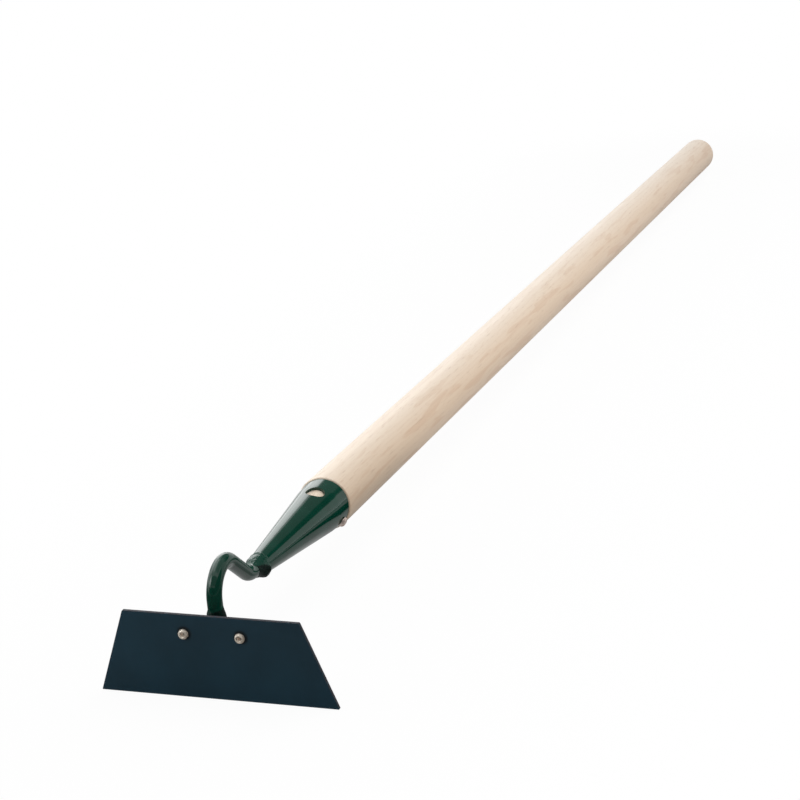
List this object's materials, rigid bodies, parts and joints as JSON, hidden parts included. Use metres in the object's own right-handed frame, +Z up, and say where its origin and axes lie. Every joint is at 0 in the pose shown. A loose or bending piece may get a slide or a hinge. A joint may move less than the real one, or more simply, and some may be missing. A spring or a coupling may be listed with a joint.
{
  "type": "garden hoe",
  "caption": "Garden hoe with a flat trapezoid blade riveted to a swan neck rod, a rolled conical socket and a long straight wooden handle.",
  "frame": {"origin": "on the ground under the centre of the hoe's footprint, with the hoe laid on its cutting edge and the tip of its handle", "axes": "+Y along the handle from the blade to the tip, as seen from above; +X to the blade's right, seen from behind it; +Z up"},
  "size_m": [0.1516, 1.5546, 0.0831],
  "materials": {
    "ash_wood": "pale straight-grained ash, sanded and lightly oiled",
    "green_paint": "glossy dark green enamel on steel",
    "blue_black_paint": "satin blue-black coating on sheet steel",
    "zinc_plated_steel": "bright zinc plate"
  },
  "bodies": {
    "root": {"handle": "ash_wood", "socket": "green_paint", "gooseneck_rod": "green_paint", "neck_weld": "green_paint", "blade": "blue_black_paint", "foot_plate": "green_paint", "foot_weld": "green_paint", "rivet_left": "zinc_plated_steel", "rivet_right": "zinc_plated_steel", "handle_screw": "zinc_plated_steel"}
  },
  "joints": []
}
